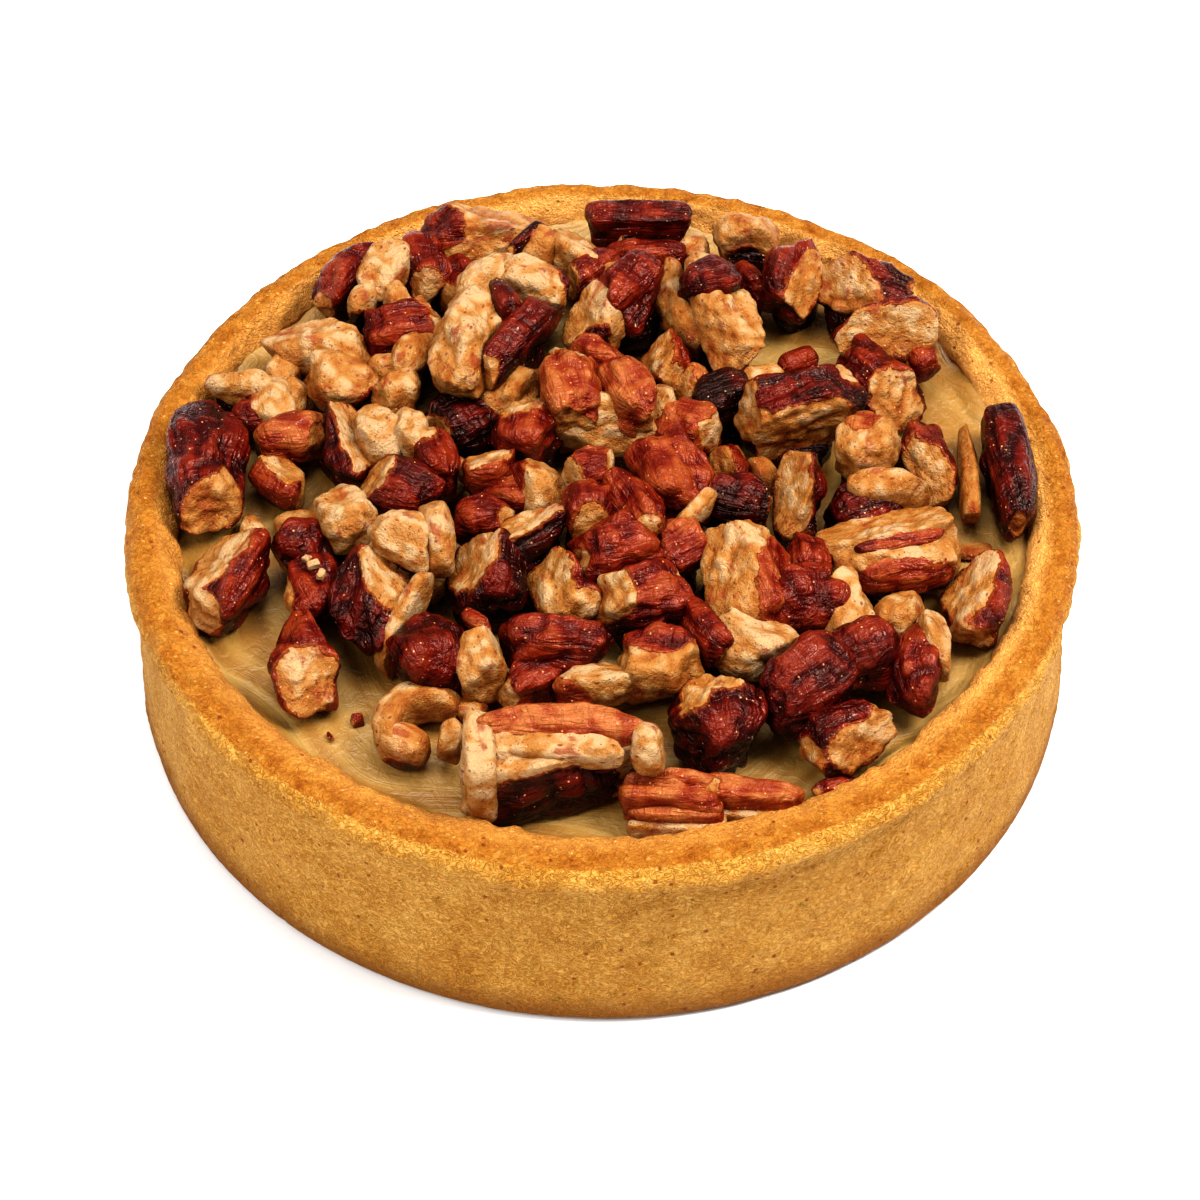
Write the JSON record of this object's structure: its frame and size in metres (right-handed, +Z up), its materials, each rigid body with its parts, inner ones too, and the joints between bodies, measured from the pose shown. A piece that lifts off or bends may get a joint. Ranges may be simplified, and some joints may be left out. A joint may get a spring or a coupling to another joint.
{
  "type": "pecan pie",
  "caption": "Small round straight-sided pie: a shortcrust shell with a rounded rim, a pale cream filling and a heap of chopped pecans.",
  "frame": {"origin": "centre of the flat underside of the crust", "axes": "+Z up through the middle of the pie, -Y towards the side that the picture shows nearest"},
  "size_m": [0.1, 0.1, 0.0321],
  "materials": {
    "crust": "matte",
    "filling": "satin",
    "pecan": "satin"
  },
  "bodies": {
    "root": {"crust": "crust", "filling": "filling", "pecan_heap": "pecan", "pecan_9": "pecan", "pecan_17": "pecan", "pecan_25": "pecan", "pecan_27": "pecan", "pecan_28": "pecan", "pecan_29": "pecan", "pecan_38": "pecan", "pecan_39": "pecan", "pecan_44": "pecan", "pecan_69": "pecan", "pecan_70": "pecan", "pecan_71": "pecan", "pecan_72": "pecan", "pecan_74": "pecan", "pecan_78": "pecan", "pecan_79": "pecan", "pecan_86": "pecan", "pecan_87": "pecan"}
  },
  "joints": []
}
